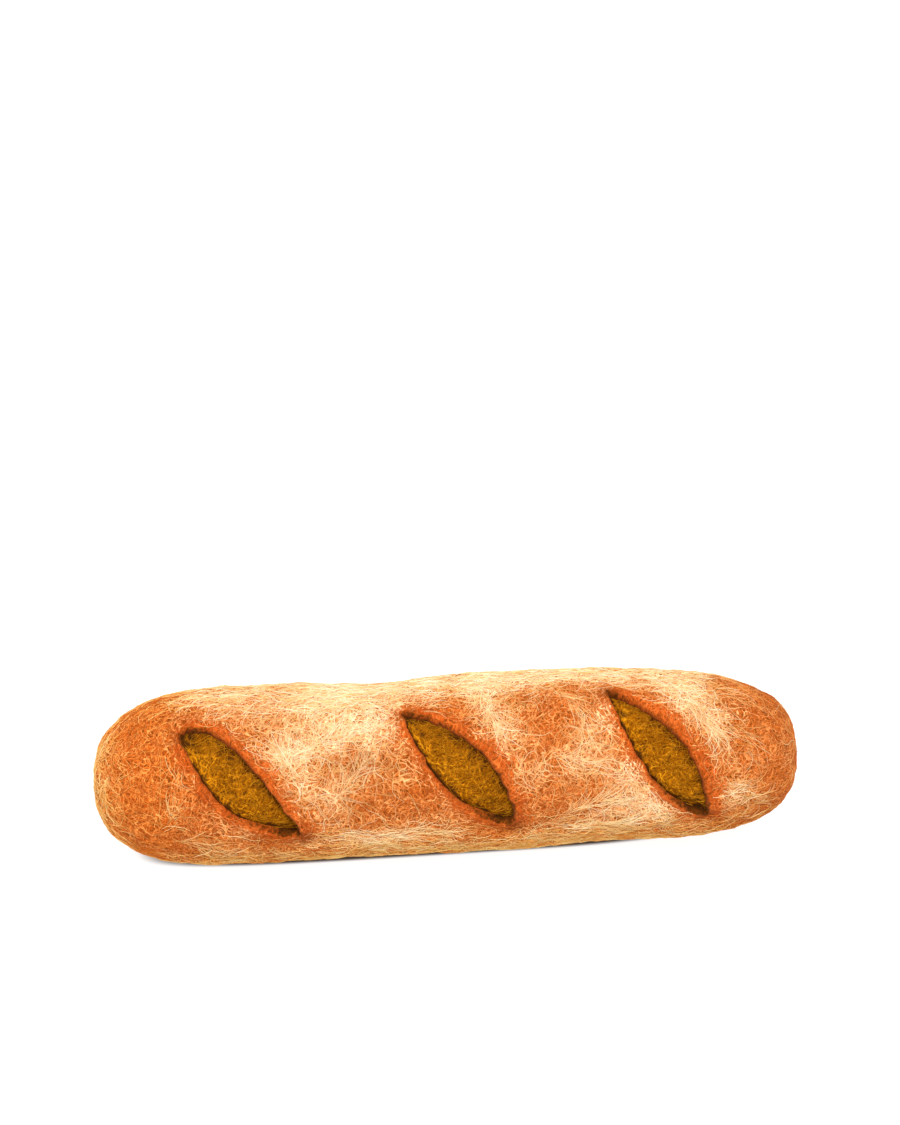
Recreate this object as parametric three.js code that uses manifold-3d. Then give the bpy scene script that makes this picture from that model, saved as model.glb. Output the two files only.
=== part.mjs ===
// A baguette of needle-felted wool: a soft toy loaf with three slanting slashes on its face.
// The loaf is one solid with a rolled lip round each slash, and each slash holds a pad of mustard-brown wool.
// Millimetres. +X runs along the loaf, -Y is its front, +Z is up, and it lies on a small flat at Z = 0.
//
// A place on the loaf is given by x along it and by a turn round it, from the middle of its face.
// The face looks forward and up, so a turn of 90 degrees is on the loaf's upper back.

import * as THREE from "three";
import { mergeVertices } from "three/addons/utils/BufferGeometryUtils.js";
import Module from "manifold-3d";

const degrees = THREE.MathUtils.degToRad;

// The loaf's round body.
const LENGTH = 240;
const LEFT_RADIUS = 30.6;
const RIGHT_RADIUS = 29.9;
const LEFT_END = { reach: 49, fullness: 2.52 };
const RIGHT_END = { reach: 81, fullness: 3.1 };
const FACE_ANGLE = degrees(42);
const AXIS_Y = -1.15;
const AXIS_Z = 28.7;

// The hand-rolled bends of its middle line: how far the line leans back, where, and over what length.
const BENDS = [
  { x: 42, back: 2.8, spread: 40 },
  { x: -60, back: 0.9, spread: 45 },
];

// Shallow dents (below zero) and swells of the surface: place, height, and spread along and round.
const SWELLS = [
  { x: -24, turn: 90, height: -1.2, along: 13, round: 34 },
  { x: 8, turn: 95, height: 0.8, along: 14, round: 34 },
  { x: 88, turn: 90, height: 0.5, along: 14, round: 30 },
  { x: -26, turn: -90, height: -0.6, along: 14, round: 30 },
  { x: 24, turn: -88, height: 0.8, along: 12, round: 30 },
  { x: 60, turn: -90, height: -0.5, along: 14, round: 30 },
  { x: -62, turn: 160, height: -0.8, along: 17, round: 26 },
  { x: 36, turn: 168, height: -0.7, along: 20, round: 24 },
  { x: -34, turn: 14, height: 0.7, along: 14, round: 26 },
  { x: 37, turn: 8, height: 0.6, along: 13, round: 26 },
];

// The slashes: middle (x, and the arc round from the face's middle line), length and slant. Each edge
// of the leaf outline bulges off the line between its tips: how far, where it is fullest, how blunt.
// A lip of the given width stands along each edge.
const SLASHES = [
  {
    x: -70.3,
    arc: -4.7,
    length: 55.5,
    slant: degrees(-44.6),
    above: { bulge: 8.8, peak: 0.27, bluntness: 0.71, lip: 4 },
    below: { bulge: 8.4, peak: 0.54, bluntness: 0.9, lip: 3.4 },
  },
  {
    x: 2.6,
    arc: -2.4,
    length: 55.5,
    slant: degrees(-51),
    above: { bulge: 9.7, peak: 0.52, bluntness: 0.63, lip: 4.4 },
    below: { bulge: 7.1, peak: 0.54, bluntness: 0.72, lip: 2.5 },
  },
  {
    x: 70.3,
    arc: 0.6,
    length: 57.3,
    slant: degrees(-55.7),
    above: { bulge: 8.5, peak: 0.53, bluntness: 0.89, lip: 4.3 },
    below: { bulge: 7.7, peak: 0.59, bluntness: 0.61, lip: 1.9 },
  },
];
const TIP_DENT = { depth: 0.5, spread: 5, ahead: 4 };

// The rolled lip round a slash, and the recess that it frames.
const LIP = { tip: 2.5, height: 1.2, sink: 0.6, middle: 0.42, half: 0.58 };
const RECESS_DEPTH = 4.5;
const RECESS_CLEAR_ABOVE = 4;

// The pad of wool in the recess: crowned in its middle and sunk at its edges, less along the lower
// edge than along the upper one, but for the lower tip.
const PAD_GAP = 0.35;
const PAD_SINK = { above: 2.9, below: 1.3, lowTip: 3.1 };
const PAD_CROWN = 1.4;

// Divisions of the surfaces.
const BODY_STATIONS = 60;
const BODY_SIDES = 42;
const LEAF_STATIONS = 20;
const LEAF_ROWS = 5;
const LIP_SIDES = 8;

// The body's surface.

function endShrink(distance, end) {
  const missing = THREE.MathUtils.clamp(1 - distance / end.reach, 0, 1);
  return (1 - missing ** end.fullness) ** (1 / end.fullness);
}

// The loaf's radius at x: a slight taper, closed by a full superellipse at each end.
function radiusAt(x) {
  const fromLeft = x + LENGTH / 2;
  const fromRight = LENGTH / 2 - x;
  const taper = THREE.MathUtils.lerp(LEFT_RADIUS, RIGHT_RADIUS, fromLeft / LENGTH);
  return taper * endShrink(fromLeft, LEFT_END) * endShrink(fromRight, RIGHT_END);
}

function bell(distance, spread) {
  return Math.exp(-((distance / spread) ** 2));
}

function bendAt(x) {
  return BENDS.reduce((sum, bend) => sum + bend.back * bell(x - bend.x, bend.spread), 0);
}

// The difference of two turns, between half a turn back and half a turn on.
function turnBetween(turn, from) {
  return THREE.MathUtils.euclideanModulo(turn - from + Math.PI, 2 * Math.PI) - Math.PI;
}

function swellAt(x, turn) {
  let height = 0;
  for (const swell of SWELLS) {
    const away = turnBetween(turn, degrees(swell.turn));
    height += swell.height * bell(x - swell.x, swell.along) * bell(away, degrees(swell.round));
  }
  return height;
}

// A slash's tips, as places on the unrolled surface.
function tipPlace(slash, end) {
  const reach = end * (slash.length / 2 + TIP_DENT.ahead);
  return {
    x: slash.x + reach * Math.cos(slash.slant),
    arc: slash.arc + reach * Math.sin(slash.slant),
  };
}

const TIPS = SLASHES.flatMap((slash) => [tipPlace(slash, -1), tipPlace(slash, 1)]);

function tipDentAt(x, turn, radius) {
  let depth = 0;
  if (radius === 0) {
    return depth;
  }
  for (const tip of TIPS) {
    const round = turnBetween(turn, tip.arc / radius) * radius;
    depth += TIP_DENT.depth * bell(Math.hypot(x - tip.x, round), TIP_DENT.spread);
  }
  return depth;
}

// The point at x and a turn round the loaf, lifted off its surface.
function surfacePoint(x, turn, lift = 0) {
  const radius = radiusAt(x);
  const fullness = radius / LEFT_RADIUS;
  const relief = (swellAt(x, turn) - tipDentAt(x, turn, radius)) * fullness;
  const reach = radius + relief + lift;
  const angle = turn + FACE_ANGLE;
  const y = AXIS_Y + bendAt(x) - reach * Math.cos(angle);
  const z = AXIS_Z + reach * Math.sin(angle);
  return new THREE.Vector3(x, y, z);
}

// The slashes' leaf outlines.

// How far an edge stands off the line between the tips, at the share s of the leaf's length.
function bulgeAt(edge, s, widening) {
  const bend = Math.log(0.5) / Math.log(edge.peak);
  return (edge.bulge + widening) * Math.sin(Math.PI * s ** bend) ** edge.bluntness;
}

// A point of a slash: s runs 0 to 1 from tip to tip, v from -1 on the lower edge to 1 on the upper,
// and grow widens the leaf by its lip's width (1) or by a part of it.
function leafPoint(slash, s, v, lift, grow = 0, inset = 0) {
  const length = slash.length + 2 * (grow * LIP.tip - 2 * inset);
  const above = bulgeAt(slash.above, s, grow * slash.above.lip - inset);
  const below = bulgeAt(slash.below, s, grow * slash.below.lip - inset);
  const across = THREE.MathUtils.mapLinear(v, -1, 1, -below, above);
  const along = (s - 0.5) * length;
  const x = slash.x + along * Math.cos(slash.slant) - across * Math.sin(slash.slant);
  const arc = slash.arc + along * Math.sin(slash.slant) + across * Math.cos(slash.slant);
  return surfacePoint(x, arc / radiusAt(x), lift);
}

// Stations from tip to tip, closer together at the tips.
function leafStation(i) {
  return i === LEAF_STATIONS ? 1 : (1 - Math.cos((Math.PI * i) / LEAF_STATIONS)) / 2;
}

// Closed solids.

const manifold = await Module();
manifold.setup();

// The two triangles of every cell of a grid of points; a cell that closes to a line gives fewer.
function patch(pointAt, columns, rows, flipped = false) {
  const triangles = [];
  for (let i = 0; i < columns; i += 1) {
    for (let j = 0; j < rows; j += 1) {
      const corners = [pointAt(i, j), pointAt(i + 1, j), pointAt(i + 1, j + 1), pointAt(i, j + 1)];
      const [a, b, c, d] = flipped ? corners.reverse() : corners;
      triangles.push([a, b, c], [a, c, d]);
    }
  }
  return triangles.filter(([a, b, c]) => !a.equals(b) && !b.equals(c) && !c.equals(a));
}

function solidFromGeometry(geometry) {
  const bare = geometry.clone();
  bare.deleteAttribute("normal");
  bare.deleteAttribute("uv");
  const merged = mergeVertices(bare);
  const vertProperties = merged.attributes.position.array;
  const triVerts = new Uint32Array(merged.index.array);
  return new manifold.Manifold(new manifold.Mesh({ numProp: 3, vertProperties, triVerts }));
}

function solidFromPatches(...patches) {
  const points = patches.flat(2);
  return solidFromGeometry(new THREE.BufferGeometry().setFromPoints(points));
}

// The plain loaf: a ring of points at each station, closing to a point at both ends.
function bodySolid() {
  const ringPoint = (i, j) => {
    const x = (-Math.cos((Math.PI * i) / BODY_STATIONS) * LENGTH) / 2;
    const turn = (2 * Math.PI * (j % BODY_SIDES)) / BODY_SIDES;
    if (i === 0 || i === BODY_STATIONS) {
      return surfacePoint(Math.sign(x) * (LENGTH / 2), 0);
    }
    return surfacePoint(x, turn);
  };
  return solidFromPatches(patch(ringPoint, BODY_STATIONS, BODY_SIDES));
}

// The lip: a rounded section carried round the leaf, from tip to tip along one edge and back.
function lipSolid(slash) {
  const loop = 2 * LEAF_STATIONS;
  const lipPoint = (i, j) => {
    const step = i % loop;
    const lower = step > LEAF_STATIONS;
    const s = leafStation(lower ? loop - step : step);
    const section = (2 * Math.PI * (j % LIP_SIDES)) / LIP_SIDES;
    const grow = LIP.middle + LIP.half * Math.cos(section);
    const lift = LIP.height * Math.sin(section) - LIP.sink;
    return leafPoint(slash, s, lower ? -1 : 1, lift, grow);
  };
  return solidFromPatches(patch(lipPoint, loop, LIP_SIDES, true));
}

// A leaf-shaped slab on the loaf's surface, between a low and a high lift given at each (s, v).
function leafSolid(slash, lowAt, highAt, inset = 0) {
  const place = (i, j, liftAt) => {
    const s = leafStation(i);
    const v = i === 0 || i === LEAF_STATIONS ? 0 : (2 * j) / LEAF_ROWS - 1;
    return leafPoint(slash, s, v, liftAt(s, v), 0, inset);
  };
  const top = patch((i, j) => place(i, j, highAt), LEAF_STATIONS, LEAF_ROWS);
  const bottom = patch((i, j) => place(i, j, lowAt), LEAF_STATIONS, LEAF_ROWS, true);
  const lowerWall = patch((i, k) => place(i, 0, k ? highAt : lowAt), LEAF_STATIONS, 1);
  const upperWall = patch((i, k) => place(i, LEAF_ROWS, k ? highAt : lowAt), LEAF_STATIONS, 1, true);
  return solidFromPatches(top, bottom, lowerWall, upperWall);
}

// What stands below Z = 0, where the loaf is pressed flat to rest.
function belowTheFlat() {
  const depth = 10;
  const block = new THREE.BoxGeometry(LENGTH, 4 * LEFT_RADIUS, depth);
  block.translate(0, 0, -depth / 2);
  return solidFromGeometry(block);
}

function loafSolid() {
  let loaf = bodySolid();
  for (const slash of SLASHES) {
    loaf = loaf.add(lipSolid(slash));
  }
  for (const slash of SLASHES) {
    loaf = loaf.subtract(leafSolid(slash, () => -RECESS_DEPTH, () => RECESS_CLEAR_ABOVE));
  }
  return loaf.subtract(belowTheFlat());
}

function padSolid(slash) {
  const low = () => PAD_GAP - RECESS_DEPTH;
  const high = (s, v) => {
    const towardsLowTip = THREE.MathUtils.smoothstep(s, 0.5, 0.95);
    const below = THREE.MathUtils.lerp(PAD_SINK.below, PAD_SINK.lowTip, towardsLowTip);
    const sink = THREE.MathUtils.mapLinear(v, -1, 1, below, PAD_SINK.above);
    return PAD_CROWN * Math.sin(Math.PI * s) * (1 - v ** 2) - sink;
  };
  return leafSolid(slash, low, high, PAD_GAP);
}

// Named meshes.

function meshFromSolid(name, solid, material) {
  const { vertProperties, triVerts } = solid.getMesh();
  const geometry = new THREE.BufferGeometry();
  geometry.setAttribute("position", new THREE.BufferAttribute(vertProperties, 3));
  geometry.setIndex(new THREE.BufferAttribute(triVerts, 1));
  geometry.computeVertexNormals();
  const mesh = new THREE.Mesh(geometry, material);
  mesh.name = name;
  return mesh;
}

const wool = (color) => new THREE.MeshStandardMaterial({ color, roughness: 0.95, metalness: 0 });

const baguette = new THREE.Group();
baguette.add(meshFromSolid("loaf", loafSolid(), wool(0xdf9a5e)));
SLASHES.forEach((slash, index) => {
  baguette.add(meshFromSolid(`slash_pad_${index + 1}`, padSolid(slash), wool(0x8a6516)));
});

export default baguette;
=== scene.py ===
"""A play baguette of needle-felted wool, 240 mm long, lying on a pale floor.

The loaf is one felted body with three slanting slashes. Each slash has a rolled lip of rust wool
and holds a sunken pad of mustard-brown wool. Over the felt lies a web of fine curly strands of
cream, straw, peach, orange and rust wool, and mustard strands lie on the pads. Each strand is a
thin closed tube on the surface.

Shapes are worked out in millimetres, in the part's own frame: +X along the loaf, -Y its front, +Z
up. A place on the loaf is given by x and by a turn round it from the middle of its face, or by the
arc, which is the turn times the radius there.
"""

import bpy
import numpy as np
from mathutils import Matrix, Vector


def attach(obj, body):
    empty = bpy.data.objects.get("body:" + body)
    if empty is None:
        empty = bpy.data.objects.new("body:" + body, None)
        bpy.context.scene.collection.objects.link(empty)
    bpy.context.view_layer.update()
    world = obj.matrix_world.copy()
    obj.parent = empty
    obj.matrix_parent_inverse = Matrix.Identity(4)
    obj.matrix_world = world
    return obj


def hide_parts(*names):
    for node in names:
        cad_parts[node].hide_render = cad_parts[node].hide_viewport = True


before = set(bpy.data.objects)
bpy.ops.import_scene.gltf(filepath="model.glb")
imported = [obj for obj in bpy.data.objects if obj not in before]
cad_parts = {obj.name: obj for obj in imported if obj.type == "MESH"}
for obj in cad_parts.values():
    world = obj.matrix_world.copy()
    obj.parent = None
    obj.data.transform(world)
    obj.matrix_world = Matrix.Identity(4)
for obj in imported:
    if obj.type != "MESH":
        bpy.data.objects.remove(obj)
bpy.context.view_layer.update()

MM = 0.001
SEED = 24

# ---------------------------------------------------------------- sizes, in millimetres

LENGTH = 240.0
LEFT_RADIUS = 30.6
RIGHT_RADIUS = 29.9
LEFT_END = {"reach": 49.0, "fullness": 2.52}
RIGHT_END = {"reach": 81.0, "fullness": 3.1}
FACE_ANGLE = np.radians(42.0)
AXIS_Y = -1.15
AXIS_Z = 28.7

# Bends of the middle line: x, how far it leans back there, and over what length.
BENDS = [(42.0, 2.8, 40.0), (-60.0, 0.9, 45.0)]

# Dents (below zero) and swells: x, turn in degrees, height, spread along, and spread round in degrees.
SWELLS = [
    (-24, 90, -1.2, 13, 34),
    (8, 95, 0.8, 14, 34),
    (88, 90, 0.5, 14, 30),
    (-26, -90, -0.6, 14, 30),
    (24, -88, 0.8, 12, 30),
    (60, -90, -0.5, 14, 30),
    (-62, 160, -0.8, 17, 26),
    (36, 168, -0.7, 20, 24),
    (-34, 14, 0.7, 14, 26),
    (37, 8, 0.6, 13, 26),
]

# The slashes: middle (x, and the arc from the face's middle line), length and slant. Each edge of the
# leaf outline bulges off the line between its tips: how far, where it is fullest, and how blunt. A lip
# of the given width stands along each edge.
SLASHES = [
    {"x": -70.3, "arc": -4.7, "length": 55.5, "slant": np.radians(-44.6),
     "above": {"bulge": 8.8, "peak": 0.27, "bluntness": 0.71, "lip": 4.0},
     "below": {"bulge": 8.4, "peak": 0.54, "bluntness": 0.9, "lip": 3.4}},
    {"x": 2.6, "arc": -2.4, "length": 55.5, "slant": np.radians(-51.0),
     "above": {"bulge": 9.7, "peak": 0.52, "bluntness": 0.63, "lip": 4.4},
     "below": {"bulge": 7.1, "peak": 0.54, "bluntness": 0.72, "lip": 2.5}},
    {"x": 70.3, "arc": 0.6, "length": 57.3, "slant": np.radians(-55.7),
     "above": {"bulge": 8.5, "peak": 0.53, "bluntness": 0.89, "lip": 4.3},
     "below": {"bulge": 7.7, "peak": 0.59, "bluntness": 0.61, "lip": 1.9}},
]
TIP_DENT = {"depth": 0.5, "spread": 5.0, "ahead": 4.0}
LIP_HEIGHT = 0.6
# Shares of a lip's width: where its crest stands, and how far it slopes out from there and in.
LIP_CREST = 0.35
LIP_SLOPE_OUT = 1.4
LIP_SLOPE_IN = 0.6
RECESS_DEPTH = 4.5
# The recess's wall starts at the first distance outside the edge and is down at the second.
RECESS_WALL = (0.15, -0.95)
# How far the darkening round the recess reaches out, painted shade under the lips together with dark
# wool: along the upper edge, more at the tips, and more again towards the lower tip along the lower
# edge.
DARK_REACH = {"upper": 0.1, "tips": 0.3, "low_tip": 0.8}
# How far a pad's edges lie below the loaf's surface, how much more that is at the lower tip, and
# how far its middle rises over them.
PAD_SINK = {"above": 2.9, "below": 1.3, "low_tip": 1.8}
PAD_CROWN = 1.4
PAD_SHARE = 0.995
PAD_ABOVE_FLOOR = 0.35
# The felt under the strands lies this far inside the loaf's outline.
FELT_INSET = 0.55
# The width over which the underside bends into the flat that the loaf lies on.
FLAT_SOFTNESS = 0.3

# Random lumps of the felt: height, width and seed of each field. Those of the slashes' edges move the
# edge, change the lip's height as a share of it, and change how far the lip's rust wool spreads.
LOAF_LUMPS = [(0.13, 5.0, 11), (0.08, 2.0, 12), (0.05, 1.0, 13)]
PAD_LUMPS = [(0.22, 3.2, 31), (0.14, 1.4, 32)]
EDGE_WOBBLE = [(0.2, 2.4, 51)]
LIP_UNEVENNESS = [(0.2, 3.0, 52)]
LIP_SPILL = [(0.3, 3.6, 53)]


def srgb(red, green, blue):
    """A colour given as 0 to 255 on a screen, as the linear light that a shader takes."""
    share = np.array([red, green, blue]) / 255
    linear = np.where(share <= 0.04045, share / 12.92, ((share + 0.055) / 1.055) ** 2.4)
    return (*(float(v) for v in linear), 1.0)


def bell(distance, spread):
    """1 in the middle, and down to 1/e one spread away from it."""
    return np.exp(-((distance / spread) ** 2))


def smooth_step(low, high, value):
    """0 below low, 1 above high, and a smooth S between."""
    t = np.clip((value - low) / (high - low), 0, 1)
    return t * t * (3 - 2 * t)


# ---------------------------------------------------------------- the loaf's surface


def end_shrink(distance, end):
    """The share of the radius that is left near an end: a superellipse over the end's reach."""
    missing = np.clip(1 - distance / end["reach"], 0, 1)
    return (1 - missing ** end["fullness"]) ** (1 / end["fullness"])


def radius_at(x):
    """The loaf's radius: a slight taper from left to right, times a full superellipse that closes
    each end."""
    from_left = x + LENGTH / 2
    from_right = LENGTH / 2 - x
    taper = LEFT_RADIUS + (RIGHT_RADIUS - LEFT_RADIUS) * from_left / LENGTH
    return taper * end_shrink(from_left, LEFT_END) * end_shrink(from_right, RIGHT_END)


def profile_by_length(samples=6001):
    """The loaf's outline from one end's middle to the other's, as functions of the length along it."""
    x = -np.cos(np.linspace(0, np.pi, samples)) * LENGTH / 2
    radius = radius_at(x)
    walked = np.concatenate([[0], np.cumsum(np.hypot(np.diff(x), np.diff(radius)))])
    return walked, x, radius, np.gradient(x, walked), np.gradient(radius, walked)


WALKED, WALK_X, WALK_RADIUS, WALK_DX, WALK_DR = profile_by_length()
WALK_LENGTH = WALKED[-1]


def wrap(turn):
    """The same turn, between half a turn back and half a turn on."""
    return (turn + np.pi) % (2 * np.pi) - np.pi


def lean_at(x):
    """How far back the loaf's middle line lies."""
    return sum(back * bell(x - at, spread) for at, back, spread in BENDS)


def plain_point(x, radius, angle):
    """A point of the loaf before its relief and bends. The noise fields are taken there."""
    return np.stack([x, -radius * np.cos(angle), radius * np.sin(angle)], -1)


def cloud(points, size, seed, waves=26):
    """A smooth random field of about unit height, whose lumps are about `size` wide: the sum of plane
    waves with random directions and phases and lengths near 2.4 sizes."""
    rng = np.random.default_rng(seed)
    ways = rng.normal(size=(waves, 3))
    ways /= np.linalg.norm(ways, axis=1, keepdims=True)
    ways *= (2 * np.pi / (2.4 * size * rng.uniform(0.7, 1.4, waves)))[:, None]
    phases = rng.uniform(0, 2 * np.pi, waves)
    total = np.zeros(points.shape[:-1])
    for way, phase in zip(ways, phases):
        total += np.sin(points @ way + phase)
    return total * np.sqrt(2 / waves)


def clouds(points, fields):
    """The sum of several random fields, each given by its height, width and seed."""
    return sum(height * cloud(points, size, seed) for height, size, seed in fields)


def leaf_bulge(slash, side, s):
    """How far the leaf's edge stands off the line between its tips at the share s of its length: the
    bulge times sin(pi s^b)^bluntness, with b so that the top lies at the peak."""
    edge = slash[side]
    bend = np.log(0.5) / np.log(edge["peak"])
    wave = np.sin(np.pi * np.clip(s, 0, 1) ** bend)
    return edge["bulge"] * np.clip(wave, 0, 1) ** edge["bluntness"]


def side_bulge(slash, s, across):
    """The bulge of the edge on the side that `across` points to."""
    return np.where(across > 0, leaf_bulge(slash, "above", s), leaf_bulge(slash, "below", s))


def to_slash(slash, x, arc):
    """A place on the unrolled loaf, as (along, across) the slash."""
    slant = slash["slant"]
    dx = x - slash["x"]
    da = arc - slash["arc"]
    return dx * np.cos(slant) + da * np.sin(slant), da * np.cos(slant) - dx * np.sin(slant)


def from_slash(slash, along, across):
    """The place on the unrolled loaf, as x and arc, of (along, across) the slash."""
    slant = slash["slant"]
    x = slash["x"] + along * np.cos(slant) - across * np.sin(slant)
    return x, slash["arc"] + along * np.sin(slant) + across * np.cos(slant)


def leaf_outline(slash, points=48):
    """The leaf's closed outline, tip to tip along the upper edge and back along the lower one."""
    s = (1 - np.cos(np.linspace(0, np.pi, points))) / 2
    along = (s - 0.5) * slash["length"]
    upper = np.stack([along, leaf_bulge(slash, "above", s)], 1)
    lower = np.stack([along, -leaf_bulge(slash, "below", s)], 1)
    return np.concatenate([upper, lower[-2:0:-1]])


def edge_distance(slash, x, arc, reach=9.0):
    """How far a place lies outside the slash's outline (below zero inside), up to `reach`. Also the
    place's way across the slash and its share of the slash's length."""
    along, across = to_slash(slash, x, arc)
    s = along / slash["length"] + 0.5
    between = (across < leaf_bulge(slash, "above", s)) & (across > -leaf_bulge(slash, "below", s))
    inside = (s > 0) & (s < 1) & between
    widest = max(slash["above"]["bulge"], slash["below"]["bulge"])
    near = (np.abs(along) < slash["length"] / 2 + reach) & (np.abs(across) < widest + reach)
    away = np.full(x.shape, reach)
    start = leaf_outline(slash)
    span = np.roll(start, -1, axis=0) - start
    place = np.stack([along[near], across[near]], -1)
    nearest = np.full(len(place), reach)
    for corner, edge in zip(start, span):
        offset = place - corner
        share = np.clip(offset @ edge / (edge @ edge), 0, 1)
        nearest = np.minimum(nearest, np.linalg.norm(offset - share[:, None] * edge, axis=1))
    away[near] = nearest
    return np.where(inside, -away, away), across, s


def slash_relief(x, arc):
    """The lip that stands round each slash, and the recess inside it, both a little uneven as felt is.
    Also gives marks for the colours: edge, the distance to the nearest slash's edge; side, 1 near an
    upper edge or a tip and 0 near a lower edge; lip, the distance as a share of the lip's width; and
    dark, how far inside the darkened band round the recess a place lies, which is painted shade with
    dark wool."""
    flat = np.stack([x, arc, np.zeros_like(x)], -1)
    wobble = clouds(flat, EDGE_WOBBLE)
    unevenness = 1 + clouds(flat, LIP_UNEVENNESS)
    spill = 1 + clouds(flat, LIP_SPILL)
    relief = np.zeros(x.shape)
    far_away = {"edge": 9.0, "side": 0.0, "lip": 3.0, "dark": -9.0}
    marks = {mark: np.full(x.shape, value) for mark, value in far_away.items()}
    for slash in SLASHES:
        away, across, s = edge_distance(slash, x, arc)
        away = away + wobble * bell(away, 4.0)
        upper = 0.5 + 0.5 * np.tanh(across / 2)
        # A lip grows wider from the slash's upper tip to its lower one, and is narrow at the upper tip.
        width = slash["below"]["lip"] + (slash["above"]["lip"] - slash["below"]["lip"]) * upper
        width = width * (0.85 + 0.3 * np.clip(s, 0, 1)) * (1 - 0.5 * smooth_step(0.12, -0.03, s))
        past_crest = away / width - LIP_CREST
        slope = np.where(past_crest > 0, LIP_SLOPE_OUT, LIP_SLOPE_IN)
        on_lip = np.clip(past_crest / slope, -1, 1)
        relief += LIP_HEIGHT * unevenness * np.cos(np.pi / 2 * on_lip) ** 2
        relief -= RECESS_DEPTH * smooth_step(*RECESS_WALL, away)
        for end in (-1, 1):
            tip_along = end * (slash["length"] / 2 + TIP_DENT["ahead"])
            tip_x, tip_arc = from_slash(slash, tip_along, 0.0)
            relief -= TIP_DENT["depth"] * bell(np.hypot(x - tip_x, arc - tip_arc), TIP_DENT["spread"])
        near_tip = smooth_step(0.3, 0.44, np.abs(s - 0.5))
        near_low_tip = smooth_step(0.62, 0.95, s) * (1 - upper)
        reach = DARK_REACH["upper"] * upper + DARK_REACH["tips"] * near_tip
        reach = reach + DARK_REACH["low_tip"] * near_low_tip
        near = {
            "edge": away,
            "side": np.maximum(upper, near_tip),
            "lip": away / (width * spill),
            "dark": reach - np.abs(away),
        }
        nearer = np.abs(away) < np.abs(marks["edge"])
        marks = {mark: np.where(nearer, near[mark], marks[mark]) for mark in marks}
    return relief, marks


def place_on_loaf(walked, turn):
    """x, radius and arc at a length walked along the outline and a turn round the loaf."""
    x = np.interp(walked, WALKED, WALK_X)
    radius = np.interp(walked, WALKED, WALK_RADIUS)
    return x, radius, wrap(turn) * radius


def loaf_surface(walked, turn, lift=0.0):
    """Points of the loaf's surface. The outline is turned round the middle line; every point then
    moves along the outline's own normal by the swells, the slashes' lips and recesses, the felt's
    lumps and `lift`. The middle line leans back by its bends, and the underside is flat at Z = 0."""
    x, radius, arc = place_on_loaf(walked, turn)
    out_x = -np.interp(walked, WALKED, WALK_DR)
    out_round = np.interp(walked, WALKED, WALK_DX)
    angle = turn + FACE_ANGLE
    swell = np.zeros(x.shape)
    for at, middle, height, along, around in SWELLS:
        turned = wrap(turn - np.radians(middle))
        swell += height * bell(x - at, along) * bell(turned, np.radians(around))
    cuts = slash_relief(x, arc)[0]
    plain = plain_point(x, radius, angle)
    fullness = np.clip(radius / LEFT_RADIUS, 0, 1)
    out = (swell + cuts) * fullness + clouds(plain, LOAF_LUMPS) - FELT_INSET + lift
    reach = radius + out_round * out
    y = AXIS_Y + lean_at(x) - reach * np.cos(angle)
    z = AXIS_Z + reach * np.sin(angle)
    z = (z + np.sqrt(z**2 + FLAT_SOFTNESS**2)) / 2
    return np.stack([x + out_x * out, y, z], -1)


def loaf_out(walked, turn):
    """The way straight out of the plain loaf."""
    out_round = np.interp(walked, WALKED, WALK_DX)
    angle = turn + FACE_ANGLE
    out_x = -np.interp(walked, WALKED, WALK_DR)
    return np.stack([out_x, -out_round * np.cos(angle), out_round * np.sin(angle)], -1)


def pad_surface(slash, s, v, lift=0.0, low=False):
    """Points of a slash's pad: s from tip to tip, v from the lower edge (-1) to the upper (1). The top
    is a low crown over the sunk edge, with the felt's lumps; the underside lies in the recess."""
    along = (s - 0.5) * slash["length"] * PAD_SHARE
    x, arc = from_slash(slash, along, v * side_bulge(slash, s, v) * PAD_SHARE)
    radius = radius_at(x)
    turn = arc / radius
    angle = turn + FACE_ANGLE
    plain = plain_point(x, radius, angle)
    crown = PAD_CROWN * np.clip(np.sin(np.pi * s), 0, 1) * (1 - v**2)
    lumps = clouds(plain, PAD_LUMPS)
    below = PAD_SINK["below"] + PAD_SINK["low_tip"] * smooth_step(0.5, 0.95, s)
    sink = below + (PAD_SINK["above"] - below) * (v + 1) / 2
    top = crown - sink + lumps * (1 - v**8)
    level = np.where(low, PAD_ABOVE_FLOOR - RECESS_DEPTH, top) + lift
    reach = radius + level
    y = AXIS_Y + lean_at(x) - reach * np.cos(angle)
    return np.stack([x, y, AXIS_Z + reach * np.sin(angle)], -1)


# ---------------------------------------------------------------- where the wool lies

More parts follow.
